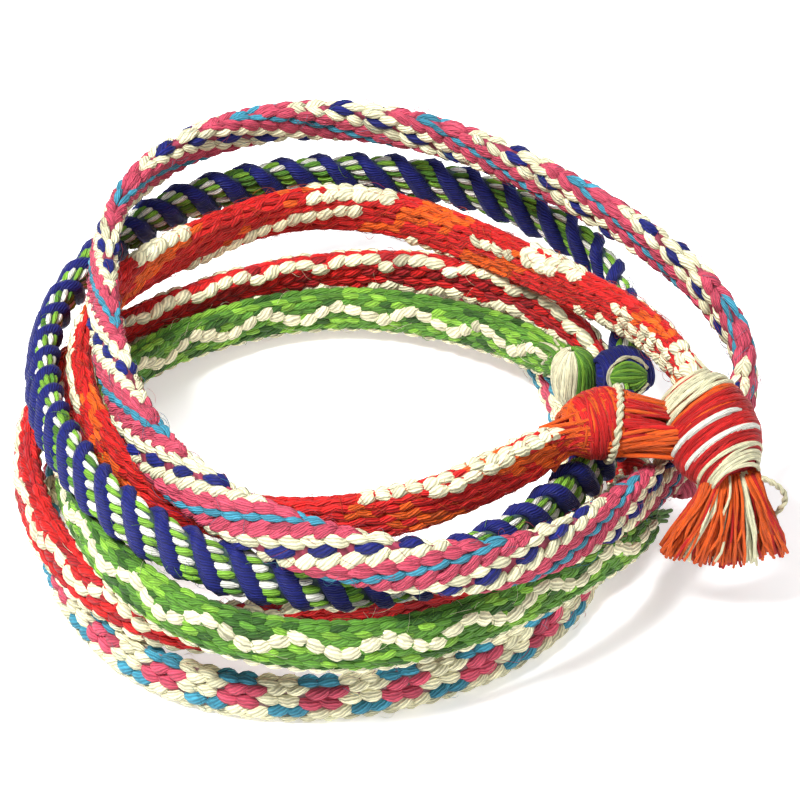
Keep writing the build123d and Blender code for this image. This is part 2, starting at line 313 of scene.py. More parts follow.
class Stitches:
    """Stitches laid on one braid: a plump ellipse tube along a straight line in the unrolled surface,
    its ends sunk into the braid."""

    def __init__(self, braid):
        self.braid = braid
        self.rows = []

    def lay(self, s, c, angle, length, width, colour, height=0.9, sink=0.42, bow=0.0, lift=0.06):
        """One stitch in millimetres and degrees; angle turns from along the braid towards the upper edge."""
        self.rows.append((s, c, angle, length, width, height, sink, bow, lift, *colour))

    def face(self, side, s, e, angle, *rest, **more):
        """A stitch on the outer (+1) or inner (-1) face, e up from the middle of that face."""
        if side > 0:
            self.lay(s, e, angle, *rest, **more)
        else:
            more["bow"] = -more.get("bow", 0.0)
            self.lay(s, GIRTH / MM / 2 - e, -angle, *rest, **more)

    def build(self, yarns):
        """Turns the stitches into closed yarns, each a little out of line. Along a stitch, x from -1 to 1 at
        its ends, the girth goes with the 0.4th power of (1 - x * x), and it sinks by sink times x * x."""
        rows = np.array(self.rows)
        s, c, angle, length, width, height, sink, bow, raised = rows[:, :9].T
        n = len(rows)
        s = s + DICE.normal(0, 0.07, n)
        c = c + DICE.normal(0, 0.05, n)
        angle = np.radians(angle + DICE.normal(0, 4, n))[:, None]
        length, width = (size * (1 + DICE.normal(0, 0.06, n)) for size in (length, width))
        t = np.concatenate(([0], np.linspace(0.09, 0.91, STITCH_RINGS), [1]))
        run = (t - 0.5)[None] * length[:, None]
        round_off = np.sqrt(1 - (2 * t - 1) ** 2) ** 0.8
        half_width = width[:, None] / 2 * round_off
        half_height = height[:, None] / 2 * round_off
        lift = -height[:, None] / 2 + raised[:, None] - sink[:, None] * (2 * t - 1) ** 2
        side = bow[:, None] * (1 - (2 * t - 1) ** 2)
        away = side[..., None] + half_width[..., None] * np.cos(TURN)
        ss = s[:, None, None] + (run * np.cos(angle))[..., None] - away * np.sin(angle)[..., None]
        cc = c[:, None, None] + (run * np.sin(angle))[..., None] + away * np.cos(angle)[..., None]
        hh = lift[..., None] + half_height[..., None] * np.sin(TURN)
        placed = self.braid.place(ss * MM, cc * MM, hh * MM)
        ends = placed[:, (0, -1)].mean(2)
        yarns.add(placed[:, 1:-1], ends, vary(rows[:, 9:12]), length * MM)


def lay_core(braid, yarns, colour):
    """The braid's body under its stitches: one closed tube of its section, a little smaller. Its colour is
    the braid's own hue darkened, painted shade that shows in the gaps between the stitches.
    """
    stations = np.linspace(-0.4 * MM, braid.length + 0.4 * MM, round(braid.length / (1 * MM)))
    round_steps = np.arange(20) / 20 * GIRTH
    s, c = np.meshgrid(stations, round_steps, indexing="ij")
    rings = braid.place(s, c, np.full(s.shape, -CORE_DEPTH * MM))[None]
    poles = rings[:, (0, -1)].mean(2)
    yarns.add(rings, poles, [colour], np.array([braid.length]))


def lay_tube(yarns, points, radius, colour, sides=SIDES, lumps=0.0):
    """A closed round yarn along a line, its radius one value or one for each point."""
    points = np.asarray(points, float)
    along = unit(np.gradient(points, axis=0))
    side = np.zeros_like(along)
    first = np.cross(along[0], (0.3, 0.5, 0.81))
    for k, way in enumerate(along):
        first = first - way * (first @ way)
        first = first / np.linalg.norm(first)
        side[k] = first
    up = np.cross(along, side)
    turn = np.arange(sides) * 2 * math.pi / sides
    radius = np.broadcast_to(radius, len(points)) * (1 + DICE.normal(0, lumps, len(points)))
    rings = points[:, None] + radius[:, None, None] * (
        side[:, None] * np.cos(turn)[None, :, None] + up[:, None] * np.sin(turn)[None, :, None])
    poles = np.array([[points[0] - radius[0] * along[0] * 0.5, points[-1] + radius[-1] * along[-1] * 0.5]])
    yarns.add(rings[None], poles, [colour], np.array([lengths_along(points)[-1]]))


# ---- the material: dyed cotton floss, its strands twisted along the yarn ----


STRANDS = 11
PLIES = 4
STRAND_TWIST = 0.0625


def floss(name):
    """Yarn colour from the mesh, darkened as painted shade between its fine strands and lightened as a
    painted highlight on their ridges; the strands run along it with a slow twist.
    The height is the sine of STRANDS turns round the yarn plus half the sine of PLIES turns; both turn on by
    STRAND_TWIST for each millimetre."""
    made = bpy.data.materials.new(name)
    made.use_nodes = True
    nodes, links = made.node_tree.nodes, made.node_tree.links
    shader = nodes["Principled BSDF"]
    for socket_name, value in (("Roughness", 0.62), ("Sheen Weight", 0.04), ("Sheen Roughness", 0.5),
                               ("Specular IOR Level", 0.24)):
        shader.inputs[socket_name].default_value = value
    yarn = nodes.new("ShaderNodeAttribute")
    yarn.attribute_name = "Yarn"
    uv = nodes.new("ShaderNodeUVMap")
    uv.uv_map = "Twist"
    split = nodes.new("ShaderNodeSeparateXYZ")
    links.new(uv.outputs["UV"], split.inputs["Vector"])

    def math_node(kind, *values):
        """One sum of numbers or other nodes' results."""
        node = nodes.new("ShaderNodeMath")
        node.operation = kind
        for socket, value in zip(node.inputs, values):
            if isinstance(value, (int, float)):
                socket.default_value = value
            else:
                links.new(value, socket)
        return node.outputs[0]

    place = nodes.new("ShaderNodeTexCoord")
    noise = nodes.new("ShaderNodeTexNoise")
    noise.inputs["Scale"].default_value = 1400
    noise.inputs["Detail"].default_value = 3
    links.new(place.outputs["Object"], noise.inputs["Vector"])
    turns = math_node("MULTIPLY_ADD", split.outputs["X"], STRAND_TWIST, split.outputs["Y"])
    wavy = math_node("MULTIPLY_ADD", noise.outputs["Fac"], 0.10, turns)
    ridge = math_node("SINE", math_node("MULTIPLY", wavy, 2 * math.pi * STRANDS))
    broad = math_node("SINE", math_node("MULTIPLY", wavy, 2 * math.pi * PLIES))
    height = math_node("MULTIPLY_ADD", broad, 0.5, ridge)
    bumped = nodes.new("ShaderNodeBump")
    bumped.inputs["Strength"].default_value = 0.8
    bumped.inputs["Distance"].default_value = 0.05 * MM
    links.new(height, bumped.inputs["Height"])
    links.new(bumped.outputs["Normal"], shader.inputs["Normal"])

    def map_range(source, *limits):
        """The source's values from one range to another: from least, from most, to least, to most."""
        node = nodes.new("ShaderNodeMapRange")
        for socket_name, value in zip(("From Min", "From Max", "To Min", "To Max"), limits):
            node.inputs[socket_name].default_value = value
        links.new(source, node.inputs["Value"])
        return node.outputs["Result"]

    # Painted shade and painted highlight: the colour goes from 0.46 times between the strands to 1.12 times
    # on their ridges, following the bump height.
    shade = map_range(height, -1.5, 1.2, 0.46, 1.12)
    speckle = map_range(noise.outputs["Fac"], 0.3, 0.7, 0.82, 1.12)
    mixed = nodes.new("ShaderNodeVectorMath")
    mixed.operation = "SCALE"
    links.new(yarn.outputs["Color"], mixed.inputs[0])
    links.new(math_node("MULTIPLY", shade, speckle), mixed.inputs["Scale"])
    links.new(mixed.outputs["Vector"], shader.inputs["Base Color"])
    return made


FLOSS = floss("cotton_floss")


FIBRE_LENGTHS = (1.0, 2.4)
FIBRE_RADIUS = 0.022


def fuzz(braid, yarns, count, colours):
    """Fine stray fibres that lie over a braid: each leaves its surface, bows out and comes back."""
    t = np.linspace(0, 1, 6)
    for _ in range(count):
        s0, c0 = DICE.uniform(0.5, braid.length / MM - 0.5), DICE.uniform(0, GIRTH / MM)
        reach, angle = DICE.uniform(*FIBRE_LENGTHS), DICE.normal(0, 0.7)
        rise = 0.08 + 0.55 * DICE.random() ** 2.5
        s = s0 + t * reach * math.cos(angle)
        c = c0 + t * reach * math.sin(angle) + DICE.normal(0, 0.35) * t**2
        h = 0.05 + rise * np.sin(math.pi * (0.12 + 0.75 * t))
        colour = colours[DICE.integers(len(colours))]
        line = braid.place(s * MM, c * MM, h * MM)
        lay_tube(yarns, line, FIBRE_RADIUS * MM, vary([colour], 0.15)[0], sides=4)


# ---- the six braids ----


def rows_of(braid, pitch, offset=0.0):
    """Row number and place in millimetres of stitches at one pitch, from end to end."""
    count = int((braid.length / MM - offset) / pitch) + 1
    return [(k, offset + k * pitch) for k in range(count)]


FACES = (1, -1)
LANES = (-2.5, -1.25, 0.0, 1.25, 2.5)
SLOPE_REACH = 0.7
PEAK = 0.93


def chain(laid, side, first, last, pitch, height_at, colour, length=2.85, width=1.6, tilt=-14.0, **more):
    """Plump stitches end to end from first to last along the braid; height_at(s) is up from the middle.
    Each follows the slope there and turns on by tilt degrees, so that its ends lap over its neighbours."""
    count = max(1, round((last - first) / pitch))
    for k in range(count):
        s = first + (k + 0.5) * (last - first) / count
        rise = height_at(s + SLOPE_REACH) - height_at(s - SLOPE_REACH)
        slope = math.degrees(math.atan2(rise, 2 * SLOPE_REACH))
        laid.face(side, s, height_at(s), slope + tilt, length, width, colour,
                  **{"height": 1.3, "sink": 0.42, "lift": 0.36} | more)


def wave(s, period, phase=0.0):
    """A rounded zigzag between -1 and 1: the arc sine of PEAK times a sine, over the arc sine of PEAK."""
    return math.asin(PEAK * math.sin(2 * math.pi * (s / period + phase))) / math.asin(PEAK)


def diamond_stitches(braid):
    """Blocks of four pink and four cream stitches in turn, cyan above the pink and below the cream."""
    laid = Stitches(braid)
    for side in FACES:
        for lane, e in enumerate(LANES):
            for k, s in rows_of(braid, 1.9, (lane % 2) * 0.9):
                cream_block = (k // 2) % 2
                if lane == 4:
                    colour = CREAM if cream_block else CYAN
                elif lane == 0:
                    colour = CREAM
                elif lane == 1:
                    colour = CYAN if cream_block else CREAM
                else:
                    colour = CREAM if cream_block else PINK
                drop = 0.0 if lane in (0, 4) else (0.22 if cream_block else -0.22)
                laid.face(side, s, e + drop, 16 if lane % 2 else -16, 2.7, 1.45, colour, height=1.05)
    return laid


# The stretch of the red braid at the left of the pile, in millimetres along it.
RED_LEFT = (68, 118)


def red_stitches(braid):
    """Long red stitches under cream chains: a scalloped one along each edge, or one down the middle at
    the left of the pile."""
    laid = Stitches(braid)
    last = braid.length / MM
    for side in FACES:
        for lane in range(6):
            e = -2.75 + lane * 1.1
            for k, s in rows_of(braid, 1.75, (lane % 2) * 0.9):
                tone = CRIMSON if DICE.random() < 0.35 else RED
                laid.face(side, s, e, -18 if lane % 2 else 14, 3.0, 1.4, tone, height=1.05, sink=0.35)
        for first, end in ((0, RED_LEFT[0]), (RED_LEFT[1], last)):
            # Near the rim only the face that the camera sees carries its chain up to the edge.
            top = 1.5 if side > 0 and first == 0 else 2.35
            chain(laid, side, first, end, 1.75, lambda s: top - 0.85 * max(0, wave(s, 6.8)), CREAM)
            chain(laid, side, first, end, 1.75, lambda s: -2.5 + 1.1 * abs(wave(s, 13.6, 0.1)), CREAM)
        chain(laid, side, *RED_LEFT, 1.75, lambda s: 0.3 + 0.75 * wave(s, 7.6), CREAM)
        chain(laid, side, *RED_LEFT, 1.9, lambda s: -2.6 + 0.3 * wave(s, 7.6, 0.5), CREAM, width=1.2,
              length=2.8)
    return laid


def green_stitches(braid):
    """Green stitches of three tones with a cream zigzag chain along the middle and a cream lower edge."""
    laid = Stitches(braid)
    last = braid.length / MM
    for side in FACES:
        for lane in range(7):
            e = -2.4 + lane * 4.8 / 6
            for k, s in rows_of(braid, 1.5, (lane % 2) * 0.75):
                tone = (LIME, GREEN, GREEN, DEEP_GREEN)[DICE.integers(4)]
                laid.face(side, s, e, -16 if lane % 2 else 8, 2.9, 1.1, tone, height=0.95, sink=0.3)
        chain(laid, side, 0.5, last - 0.5, 1.6, lambda s: 0.35 + 0.85 * wave(s, 8.2), CREAM)
        chain(laid, side, 0.5, last - 0.5, 2.0, lambda s: -2.75, CREAM, length=2.7, width=1.25,
              height=1.0, tilt=-6)
    return laid


BAR_PITCH = 3.8
FILLERS = 8


def navy_stitches(braid):
    """Two navy yarns wind round the braid, and small green and white stitches fill between them."""
    laid = Stitches(braid)
    girth = GIRTH / MM
    for k in range(int(braid.length / MM / BAR_PITCH) + 2):
        for step in range(FILLERS):
            c = -girth / 4 + (step + 0.5) * girth / (2 * FILLERS)
            for side in FACES:
                c_here = c if side > 0 else c + girth / 2
                s = k * BAR_PITCH + BAR_PITCH / 2 - np.mod(c_here, girth) / girth * 2 * BAR_PITCH
                if not -0.5 < s < braid.length / MM + 0.5:
                    continue
                if (step + k) % 2 and DICE.random() < 0.85:
                    tone = WHITE
                else:
                    tone = (LIME, LIME, GREEN)[DICE.integers(3)]
                laid.lay(s, c_here, 4, 2.6, 0.88, tone, height=1.0, sink=0.2, lift=-0.04)
    return laid


def navy_bars(braid, yarns):
    """The two winding navy yarns: each goes down the braid by two bar pitches in one turn round it, and is
    plump where it crosses a face."""
    girth = GIRTH / MM
    turns = braid.length / MM / (2 * BAR_PITCH)
    for start in (0, 1):
        c = np.arange(0, (turns + 1) * 28) / 28 * girth
        s = start * BAR_PITCH + braid.length / MM + BAR_PITCH - c / girth * 2 * BAR_PITCH
        keep = (s > -0.6) & (s < braid.length / MM + 0.6)
        c, s = c[keep], s[keep]
        slope = math.atan2(1, -2 * BAR_PITCH / girth)
        way_s, way_c = math.cos(slope), math.sin(slope)
        plump = 1 + 0.12 * np.cos(4 * math.pi * c / girth) + DICE.normal(0, 0.03, len(c))
        a, b = 0.88 * plump, 0.80 * plump
        ss = s[:, None] - way_c * a[:, None] * np.cos(TURN)
        cc = c[:, None] + way_s * a[:, None] * np.cos(TURN)
        hh = -0.42 + b[:, None] * np.sin(TURN)
        rings = braid.place(ss * MM, cc * MM, hh * MM)[None]
        yarns.add(rings, rings[:, (0, -1)].mean(2), [NAVY], np.array([len(c) * 0.45 * MM]), coil=0.3)


# Cream chains of the orange braid: from and to along it, and how far up from the middle they begin and end.
CREAM_CHAINS = (
    (18.0, 26.0, 2.9, 2.2), (21.0, 26.0, 1.9, 1.4), (34.0, 42.0, -2.9, -2.2), (42.5, 52.0, 2.9, 2.3),
    (46.0, 66.0, 1.0, -2.3), (66.0, 74.0, 2.9, 2.6), (84.0, 97.0, 1.6, 0.6), (106.0, 116.0, 2.9, 2.7),
    (136.0, 150.0, 1.3, 2.4),
)
# Where short cream stitches fill patches: from and to, lowest and highest.
CREAM_PATCHES = (
    (0.0, 4.0, 0.4, 3.0), (2.0, 14.0, -2.2, 1.4), (12.5, 20.0, -3.0, -1.2), (27.5, 33.0, 0.9, 2.5),
    (130.0, 151.0, 1.6, 3.1),
)


def orange_stitches(braid):
    """Soft red and orange strands, with cream chains and patches of short cream stitches."""
    laid = Stitches(braid)
    for side in FACES:
        for lane in range(7):
            e = -2.7 + lane * 5.4 / 6
            for k, s in rows_of(braid, 1.3, (lane % 2) * 0.65):
                mix = math.sin(s * 0.42 + lane * 0.8) + 0.6 * math.sin(s * 0.17 + 2) + DICE.normal(0, 0.4)
                laid.face(side, s, e, (-20, 8)[k % 2], 3.6, 1.05, ORANGE if mix > 0.7 else RED, height=0.95,
                          sink=0.25)
        for first, end, low, high in CREAM_PATCHES:
            for lane in range(5):
                e = -2.6 + lane * 1.3
                for k, s in rows_of(braid, 1.5, (lane % 2) * 0.75):
                    if first <= s <= end and low <= e <= high and DICE.random() < 0.76:
                        laid.face(side, s, e, 22 if k % 2 else -22, 2.4, 1.45, CREAM, lift=0.3)
        for first, end, start, stop in CREAM_CHAINS:
            climb = (stop - start) / (end - first)
            chain(laid, side, first, end, 1.7, lambda s: start + climb * (s - first) + 0.15 * wave(s, 4.0),
                  CREAM, tilt=-18)
    return laid


# The pink braid's stripes climb by DRIFT for each millimetre along it; a navy spot comes every CHAIN_PITCH.
DRIFT = 6.25 / 18.5
CHAIN_PITCH = 3.9


def pink_stitches(braid):
    """Stripes that climb across both faces: a cream chain round navy spots, pink, a cyan line, pink."""
    laid = Stitches(braid)
    half = GIRTH / MM / 2
    climb = math.degrees(math.atan(DRIFT))
    first = -int(braid.length / MM * DRIFT / half) - 2
    for side in FACES:
        for stripe in range(first, 2):
            for lane in range(6):
                lane_e = stripe * half + lane * half / 6
                pitch, shift = CHAIN_PITCH / 2, (lane % 2) * CHAIN_PITCH / 4
                if lane == 1:
                    pitch, shift = CHAIN_PITCH, 0.3 * CHAIN_PITCH
                for k, s in rows_of(braid, pitch, shift):
                    e = lane_e + s * DRIFT
                    if abs(e) > half / 2:
                        continue
                    if lane in (0, 2):
                        tilt = 22 if lane == 0 else -22
                        laid.face(side, s, e, climb + tilt, 3.1, 1.35, CREAM, height=1.15, lift=0.12)
                    elif lane == 1:
                        laid.face(side, s, e, climb, 3.2, 1.35, NAVY, height=1.2, lift=0.16)
                    elif lane == 4:
                        laid.face(side, s, e, climb - 6, 3.0, 0.9, CYAN, height=0.9)
                    else:
                        for part in (-0.38, 0.0, 0.38):
                            laid.face(side, s, e + part, climb + (16 if lane == 3 else -16), 3.3, 0.78, PINK,
                                      height=0.95, sink=0.35)
    return laid


# Stray fibres of each braid: how many, and their colours.
FIBRES = {
    "diamond": (160, (PINK, CREAM, CYAN)),
    "red": (200, (RED, CREAM, RED)),
    "green": (260, (GREEN, LIME, CREAM)),
    "navy": (420, (NAVY, NAVY, LIME)),
    "orange": (900, (RED, ORANGE, ORANGE)),
    "pink": (520, (PINK, PINK, CYAN)),
}

# Each braid's stitches, and the colour of its body under them: the braid's own hue, darkened as painted shade
# in the gaps between the stitches.
LAYERS = {
    "diamond": (diamond_stitches, (0.22, 0.12, 0.12)),
    "red": (red_stitches, (0.12, 0.006, 0.006)),
    "green": (green_stitches, (0.05, 0.16, 0.02)),
    "navy": (navy_stitches, (0.03, 0.06, 0.06)),
    "orange": (orange_stitches, (0.42, 0.020, 0.008)),
    "pink": (pink_stitches, (0.25, 0.030, 0.06)),
}

braids = {}
for colour_name, (stitch_plan, shaded_core_colour) in LAYERS.items():
    braid = Braid(colour_name)
    braids[colour_name] = braid
    yarns = Yarns()
    lay_core(braid, yarns, shaded_core_colour)
    stitch_plan(braid).build(yarns)
    if colour_name == "navy":
        navy_bars(braid, yarns)
    fuzz(braid, yarns, *FIBRES[colour_name])
    piece = yarns.mesh(f"{colour_name}_braid", FLOSS)
    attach(piece, colour_name)
    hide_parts(f"{colour_name}_band")

# ---- knots, whipping, tassel and loose ends ----

FRONT = np.array((0.0, -0.73, 0.68))


class Knot:
    """A barrel as in the part's source: middle, half length, waist and end radius, and the way it points.
    Turns round it are measured from the side that faces up and forward."""

    def __init__(self, middle, half, waist, end, way):
        self.middle, self.half, self.waist, self.end = np.array(middle, float), half, waist, end
        self.way = unit(np.array(way, float))
        self.front = unit(FRONT - self.way * (FRONT @ self.way))
        self.side = np.cross(self.way, self.front)

    def radius(self, t):
        """Radius of the barrel's arc at a distance t along it, held past the ends."""
        rise = self.waist - self.end
        bulge = (self.half**2 + rise**2) / (2 * rise)
        t = np.clip(t, -self.half, self.half)
        return self.waist - bulge + np.sqrt(bulge**2 - t**2)

    def point(self, t, turn, lift=0.0):
        """Points in metres at t millimetres along, a turn in radians round, lift above the barrel."""
        t, turn, lift = np.broadcast_arrays(t, turn, lift)
        r = (self.radius(t) + lift)[..., None]
        round_way = self.front * np.cos(turn)[..., None] + self.side * np.sin(turn)[..., None]
        return (self.middle + self.way * t[..., None] + round_way * r) * MM


def wrap(yarns, knot, t, colour, thick, tilt=0.0, aim=0.0, lift=0.0, span=math.pi, middle=0.0):
    """One yarn round a knot at t: it leans by tilt millimetres towards the turn called aim, its lift fades
    to nothing on the side that faces down, and its ends sink in."""
    turn = middle + np.linspace(-span, span, max(12, int(span * 14)))
    place = t + tilt * np.cos(turn - aim)
    ends = np.minimum(1, (span - abs(turn - middle)) / 0.35)
    sunk = lift * (0.5 + 0.5 * np.cos(turn)) - thick * 0.7 * (1 - ends)
    lay_tube(yarns, knot.point(place, turn, sunk - thick * 0.1), thick / 2 * MM, colour)


def satin(yarns, knot, bands, thick=0.52, pitch=0.44, tilt=0.0, aim=0.0, core=CRIMSON):
    """Floss wound side by side on a plain core; bands are (up to this t, colour) in order along the knot."""
    turn = np.arange(2 * SIDES) * math.pi / SIDES
    t = np.linspace(-knot.half, knot.half, 12)
    rings = knot.point(t[:, None], turn[None], -thick * 0.6)[None]
    yarns.add(rings, rings[:, (0, -1)].mean(2), [core], np.array([2 * knot.half * MM]))
    for t in np.arange(-knot.half + pitch / 2, knot.half, pitch):
        colour = next((paint for limit, paint in bands if t <= limit), bands[-1][1])
        paint = vary([colour], 0.10)[0]
        wrap(yarns, knot, t + DICE.normal(0, 0.04), paint, thick * DICE.uniform(0.9, 1.12), tilt, aim,
             DICE.normal(0, 0.05), middle=math.pi * DICE.uniform(0.8, 1.2) + math.pi, span=math.pi * 1.02)


def twisted(yarns, points, thick, colour, lay=1.6):
    """A cord of two plies wound round its own middle line, one turn in every lay millimetres."""
    points = even_points(np.asarray(points, float), thick * MM * 0.35)
    along = unit(np.gradient(points, axis=0))
    side = unit(np.cross(along, (0.31, 0.42, 0.85)))
    up = np.cross(along, side)
    at = lengths_along(points) / MM
    for start in (0, 0.5):
        turn = (2 * math.pi * (at / lay + start))[:, None]
        line = points + (side * np.cos(turn) + up * np.sin(turn)) * thick * 0.26 * MM
        lay_tube(yarns, line, thick * 0.29 * MM, vary([colour], 0.05)[0], sides=6)


def curve(start, bend, end, count):
    """Points of the bow from start to end that bend pulls: (1-t)^2 start + 2t(1-t) bend + t^2 end."""
    t = np.linspace(0, 1, count)[:, None]
    return start * (1 - t) ** 2 + bend * 2 * t * (1 - t) + end * t**2


ROOT_REACH = 1.6


def bridge(yarns, knot, braid, end, count, colours, fan=0.15):
    """Strands that run out of a braid's end and over the nearer half of a knot: end is 0 or -1, and fan
    is how far they scatter round the knot, in radians."""
    inward = braid.along[end] * (1 if end == 0 else -1)
    root = braid.points[end] + inward * ROOT_REACH * MM
    facing = 1 if (braid.points[end] - knot.middle * MM) @ knot.way > 0 else -1
    for k in range(count):
        u, v = DICE.uniform(-1, 1), DICE.choice((-1, 1)) * DICE.uniform(0.7, 1)
        start = root + (braid.across[end] * u * 2.1 + braid.out[end] * v * 0.95) * MM
        away = start - knot.middle * MM
        turn = math.atan2(away @ knot.side, away @ knot.front) + DICE.normal(0, fan)
        stop = knot.point(facing * knot.half * DICE.uniform(0.4, 0.85), turn, 0.12)
        line = curve(start, knot.point(facing * knot.half, turn, 0.25), stop, 10)
        radius = DICE.uniform(0.16, 0.26) * MM
        lay_tube(yarns, line, radius, vary([colours[k % len(colours)]], 0.13)[0], sides=6)


def finish_piece(yarns, name, body, node):
    """Makes the piece, and lets it ride and replace its node."""
    piece = yarns.mesh(name, FLOSS)
    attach(piece, body)
    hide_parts(node)


# Middle, half length, waist and end radius, and way of each knot, as in the part's source.
KNOTS = {
    "diamond": Knot((18.0, -0.5, 2.6), 2.6, 2.1, 1.2, (0.2, -1, 0)),
    "red": Knot((22.8, 0, 2.6), 2.6, 2.1, 1.2, (0, -1, 0)),
    "pink": Knot((28.6, -4.6, 7.3), 2.6, 2.1, 1.2, (0.7, 0.7, 0.2)),
    "green": Knot((17.6, 6.9, 8.9), 3.0, 2.1, 1.4, (0.1, -0.2, -1)),
    "navy": Knot((22.2, 6.5, 9.9), 2.7, 2.2, 1.4, (-0.1, 0.3, -1)),
    "lump": Knot((19.6, -9.4, 18.1), 3.8, 3.2, 1.5, (1, 0.2, 0)),
    "big": Knot((29.7, -9.3, 17.0), 5.2, 4.4, 2.3, (0.41, -0.86, -0.3)),
}

# Knots that are mostly hidden: floss wound in the braid's own colours.
for name, first, second in (("diamond", PINK, CREAM), ("red", RED, CREAM), ("pink", PINK, CREAM)):
    yarns = Yarns()
    satin(yarns, KNOTS[name], [(-1.2, first), (0.2, second), (9, first)], core=first)
    for end in (0, -1):
        bridge(yarns, KNOTS[name], braids[name], end, 30, (first, second))
    finish_piece(yarns, f"{name}_knot_yarns", name, f"{name}_knot")

# The green bracelet's knot: floss drawn over it from end to end, cream on the left and green on the right.
knot = KNOTS["green"]
for colour, node, slot, start in ((CREAM, "green_wrap", "cream_thread", 0.5),
                                  (GREEN, "green_knot", "green_thread", -0.5)):
    yarns = Yarns()
    for k in range(17):
        turn = math.pi * (start + (k / 16 - 0.5) * 0.94)
        t = np.linspace(-knot.half * 1.02, knot.half * 1.02, 15)
        pinch = -0.9 * (abs(t) / knot.half) ** 6
        paint = vary([LIME if colour is GREEN and k % 3 == 0 else colour], 0.1)[0]
        lay_tube(yarns, knot.point(t, turn + 0.25 * t / knot.half, pinch), 0.28 * MM, paint, lumps=0.03)
    if colour is GREEN:
        bridge(yarns, knot, braids["green"], 0, 40, (GREEN, LIME, CREAM))
    finish_piece(yarns, f"{node}_yarns", "green", node)

# The navy bracelet's knot: navy turns over its top, and a green leaf of strands ringed by a white thread.
tied = KNOTS["navy"]
crown = Knot(tied.middle, 2.6, 2.5, 1.3, (1, 0.15, -0.1))
yarns = Yarns()
satin(yarns, crown, [(9, NAVY)], thick=0.55, pitch=0.4, tilt=0.4, aim=0.5, core=NAVY)
for k in range(9):
    t = np.linspace(-1.7, 1.9, 14)
    turn = 0.2 + (k - 4) * 0.14 * (1 - 0.75 * (t / 1.9) ** 2)
    lay_tube(yarns, crown.point(t, turn, 0.22), 0.2 * MM, vary([(LIME, GREEN)[k % 2]], 0.1)[0], sides=6)
bridge(yarns, crown, braids["navy"], 0, 40, (NAVY, LIME))
finish_piece(yarns, "navy_knot_yarns", "navy", "navy_knot")
yarns = Yarns()
turn = np.linspace(0.45, 2 * math.pi - 0.5, 44)
twisted(yarns, crown.point(0.2 + 2.1 * np.cos(turn), 0.2 + 0.74 * np.sin(turn), 0.42), 0.42, CREAM, lay=3.0)
finish_piece(yarns, "navy_thread_yarns", "navy", "navy_thread")

# The lump where the orange bracelet's front end is tied in.
lump, big = KNOTS["lump"], KNOTS["big"]
yarns = Yarns()
satin(yarns, lump, [(-2.9, ORANGE), (0.3, RED), (1.6, ORANGE), (3.0, RED), (9, ORANGE)],
      thick=0.6, pitch=0.46, tilt=0.5, aim=0.4)
for _ in range(60):
    t = DICE.uniform(-0.9, 0.9) * lump.half
    paint = vary([RED if -2.4 < t < 1.4 and DICE.random() < 0.7 else ORANGE], 0.14)[0]
    wrap(yarns, lump, t, paint, DICE.uniform(0.28, 0.5), DICE.normal(0, 0.7), 0.0,
         DICE.uniform(0.02, 0.3), span=DICE.uniform(0.7, 2.0), middle=DICE.uniform(-2.0, 2.0))
# Strands that run on side by side from the lump into the large knot.
for k in range(190):
    turn = DICE.uniform(-1.6, 1.15)
    start = lump.point(DICE.uniform(-0.4, 3.0), turn, 0.12)
    end = big.point(-0.9 + 1.5 * turn + DICE.normal(0, 0.25), 1.25 + DICE.uniform(-0.6, 0.4), 0.14)
    bend = (start + end) / 2 + np.array((0, -0.3, 0.75)) * MM * math.cos(turn)
    line = curve(start, bend, end, 12)
    strand = RED if -0.9 < turn < 0.5 and DICE.random() < 0.8 else ORANGE
    lay_tube(yarns, line, DICE.uniform(0.16, 0.25) * MM, vary([strand], 0.12)[0], sides=6)
# A flat spiral closes the lump's left end.
turn = np.linspace(0, 8 * math.pi, 120)
lay_tube(yarns, lump.point(-3.7, turn, np.linspace(0.1, -1.35, 120)), 0.22 * MM, ORANGE)
bridge(yarns, lump, braids["orange"], -1, 130, (ORANGE, ORANGE, RED), fan=0.42)
bridge(yarns, big, braids["orange"], 0, 90, (RED, ORANGE, CREAM))
finish_piece(yarns, "lump_yarns", "orange", "orange_lump")
yarns = Yarns()
turn = np.linspace(-2.4, 2.4, 60)
twisted(yarns, lump.point(0.9 - 0.9 * np.sin(turn), turn, 0.35), 0.75, CREAM)
finish_piece(yarns, "lump_thread_yarns", "orange", "lump_thread")

# The large knot: cream and orange turns at its head, a red dome, then the collar.
yarns = Yarns()
satin(yarns, big, [(-1.4, ORANGE), (9, RED)], thick=0.5, pitch=0.42, tilt=0.5, aim=1.2)
for _ in range(150):
    t = DICE.uniform(-0.9, 0.62) * big.half
    red_share = np.interp(t, (-4, -2.2, -0.8), (0.2, 0.25, 0.93))
    paint = vary([RED if DICE.random() < red_share else ORANGE], 0.14)[0]
    wrap(yarns, big, t, paint, DICE.uniform(0.28, 0.5), 0.6 + DICE.normal(0, 0.35), 1.2,
         DICE.uniform(0.02, 0.3), span=DICE.uniform(0.8, 2.2), middle=DICE.uniform(-2.4, 2.4))
finish_piece(yarns, "big_knot_yarns", "orange", "orange_knot")
for node, t, count in (("top_wrap_1", -0.73 * big.half, 5), ("top_wrap_2", -0.53 * big.half, 5)):
    yarns = Yarns()
    for k in range(count):
        wrap(yarns, big, t + (k - count / 2) * 0.3 + DICE.normal(0, 0.1), vary([CREAM], 0.06)[0],
             DICE.uniform(0.36, 0.55), 0.9 + DICE.normal(0, 0.3), 1.2, 0.34 + DICE.uniform(0, 0.25),
             span=DICE.uniform(1.3, 2.1), middle=-0.5 + DICE.normal(0, 0.3))
    finish_piece(yarns, f"{node}_yarns", "orange", node)
